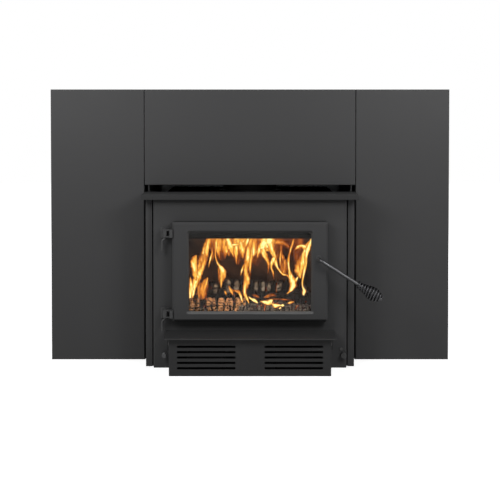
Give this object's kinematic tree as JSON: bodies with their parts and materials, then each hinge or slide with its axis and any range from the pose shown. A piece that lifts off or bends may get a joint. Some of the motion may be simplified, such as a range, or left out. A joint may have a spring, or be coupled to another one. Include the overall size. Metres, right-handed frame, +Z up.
{
  "type": "fireplace insert",
  "caption": "Wood-burning fireplace insert: firebox in a convection casing with hinged glass door, coil-grip latch, blower under an ash lip and a wide three-panel surround.",
  "frame": {"origin": "on the hearth, midway between the sides, in the plane of the surround's face (centre of the mount 'base')", "axes": "+X to the viewer's right along the surround, +Y back into the chimney, +Z up; the door faces -Y"},
  "size_m": [1.1176, 0.611, 0.7608],
  "materials": {
    "surround_paint": "satin-matt black stove enamel, fine texture",
    "body_paint": "matt black high-temperature paint",
    "door_paint": "matt black paint on cast iron",
    "galvanised_sheet": "dull zinc-coated sheet",
    "firebox_plate": "smoke-darkened steel plate",
    "firebrick": "sooty fired clay",
    "baffle_board": "pressed mineral board",
    "stainless_tube": "heat-tinted stainless",
    "ceramic_glass": "clear glass ceramic",
    "rope_gasket": "graphite-coated glass rope",
    "handle_steel": "black nickel, satin",
    "grip_wire": "black-coated spring wire",
    "bare_steel": "zinc-plated fasteners",
    "hinge_paint": "black-painted steel",
    "knob_steel": "satin nickel",
    "knob_plastic": "moulded black plastic",
    "rubber_grommet": "black rubber",
    "motor_shell": "dark grey motor enamel",
    "fan_aluminium": "black-coated stamped aluminium",
    "blower_paint": "matt black paint, darker than the body's",
    "mount_primer": "flat black primer"
  },
  "bodies": {
    "insert": {"surround_left": "surround_paint", "surround_right": "surround_paint", "surround_top": "surround_paint", "casing_left": "body_paint", "casing_right": "body_paint", "front_panel": "body_paint", "top_ledge": "blower_paint", "ash_lip": "blower_paint", "blower_box": "blower_paint", "flue_collar": "blower_paint", "fan_scroll_left": "blower_paint", "fan_scroll_right": "blower_paint", "motor_saddle": "blower_paint", "surround_channels": "mount_primer", "casing_top": "galvanised_sheet", "casing_back": "galvanised_sheet", "casing_base": "galvanised_sheet", "damper_rails": "galvanised_sheet", "firebox_shell": "firebox_plate", "latch_strike": "firebox_plate", "bricks_floor": "firebrick", "bricks_left": "firebrick", "bricks_right": "firebrick", "bricks_back": "firebrick", "baffle_boards": "baffle_board", "air_manifold_left": "stainless_tube", "air_manifold_right": "stainless_tube", "air_tube_1": "stainless_tube", "air_tube_2": "stainless_tube", "air_tube_3": "stainless_tube", "surround_bolts": "bare_steel", "panel_screws": "bare_steel", "hinge_bracket_upper": "hinge_paint", "hinge_bracket_lower": "hinge_paint", "hinge_pin_upper": "hinge_paint", "hinge_pin_lower": "hinge_paint", "speed_control": "knob_plastic", "cord_grommet": "rubber_grommet", "motor_housing": "motor_shell"},
    "door": {"door_frame": "door_paint", "glass_gasket": "rope_gasket", "door_glass": "ceramic_glass", "glass_retainer": "galvanised_sheet", "glass_screws": "bare_steel", "door_gasket": "rope_gasket", "door_lug_upper": "hinge_paint", "door_lug_lower": "hinge_paint", "handle_bushing": "hinge_paint"},
    "latch": {"handle_rod": "handle_steel", "handle_coil": "grip_wire", "latch_cam": "bare_steel", "latch_spacer": "bare_steel", "latch_nut": "bare_steel"},
    "air_control": {"air_knob": "knob_steel", "air_rod": "handle_steel", "air_damper": "galvanised_sheet"},
    "blower_rotor": {"rotor_shaft": "bare_steel", "fan_wheel_left": "fan_aluminium", "fan_wheel_right": "fan_aluminium"},
    "speed_dial": {"speed_knob": "knob_plastic"}
  },
  "joints": [
    {"name": "door_swing", "type": "hinge", "parent": "insert", "child": "door", "pos_m": [-0.229, -0.116, 0.26], "axis": [0, 0, -1], "range_deg": [0, 115]},
    {"name": "latch_turn", "type": "hinge", "parent": "door", "child": "latch", "pos_m": [0.1856, -0.13, 0.301], "axis": [0, -1, 0], "range_deg": [-40, 50]},
    {"name": "air_slide", "type": "slide", "parent": "insert", "child": "air_control", "axis": [0, -1, 0], "range_m": [0, 0.045]},
    {"name": "blower_spin", "type": "hinge", "parent": "insert", "child": "blower_rotor", "pos_m": [0, -0.15, 0.05], "axis": [1, 0, 0], "continuous": true},
    {"name": "speed_turn", "type": "hinge", "parent": "insert", "child": "speed_dial", "pos_m": [0.254, -0.107, 0.036], "axis": [0, -1, 0], "range_deg": [-270, 0]}
  ]
}
